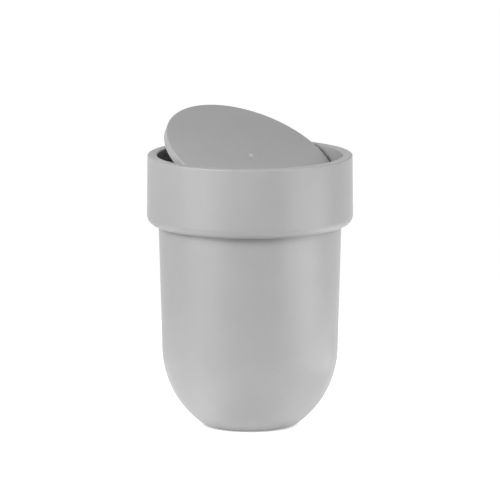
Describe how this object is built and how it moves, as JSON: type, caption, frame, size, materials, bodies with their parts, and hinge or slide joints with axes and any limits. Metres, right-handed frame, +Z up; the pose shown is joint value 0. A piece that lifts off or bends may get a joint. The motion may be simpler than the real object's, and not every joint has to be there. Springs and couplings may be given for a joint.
{
  "type": "swing-lid trash can",
  "caption": "Small round swing-lid waste bin: round-bellied tapered bucket, lift-off collar with a curled lower edge, and a flat flap that tips either way on pivots in the collar's mouth",
  "frame": {"origin": "centre of the base, on the surface that the bin stands on", "axes": "+Z up, X along the flap's pivot line, +Y towards the side of the flap that is tipped up"},
  "size_m": [0.1898, 0.1898, 0.2899],
  "materials": {
    "shell_plastic": "soft matte moulded",
    "bush_plastic": "smooth moulded",
    "steel": "plain turned"
  },
  "bodies": {
    "bin": {"bin_body": "shell_plastic"},
    "collar": {"collar_band": "shell_plastic", "rim_ring": "shell_plastic", "pivot_bush_left": "bush_plastic", "pivot_bush_right": "bush_plastic"},
    "lid": {"lid_top": "shell_plastic", "lid_under_cover": "shell_plastic", "balance_weight": "steel", "cover_screw": "steel", "pivot_pin_left": "steel", "pivot_pin_right": "steel"}
  },
  "joints": [
    {"name": "collar_lift", "type": "slide", "parent": "bin", "child": "collar", "axis": [0, 0, 1], "range_m": [0, 0.12]},
    {"name": "lid_swing", "type": "hinge", "parent": "collar", "child": "lid", "pos_m": [0, 0, 0.248], "axis": [1, 0, 0], "range_deg": [-110, 54]}
  ]
}
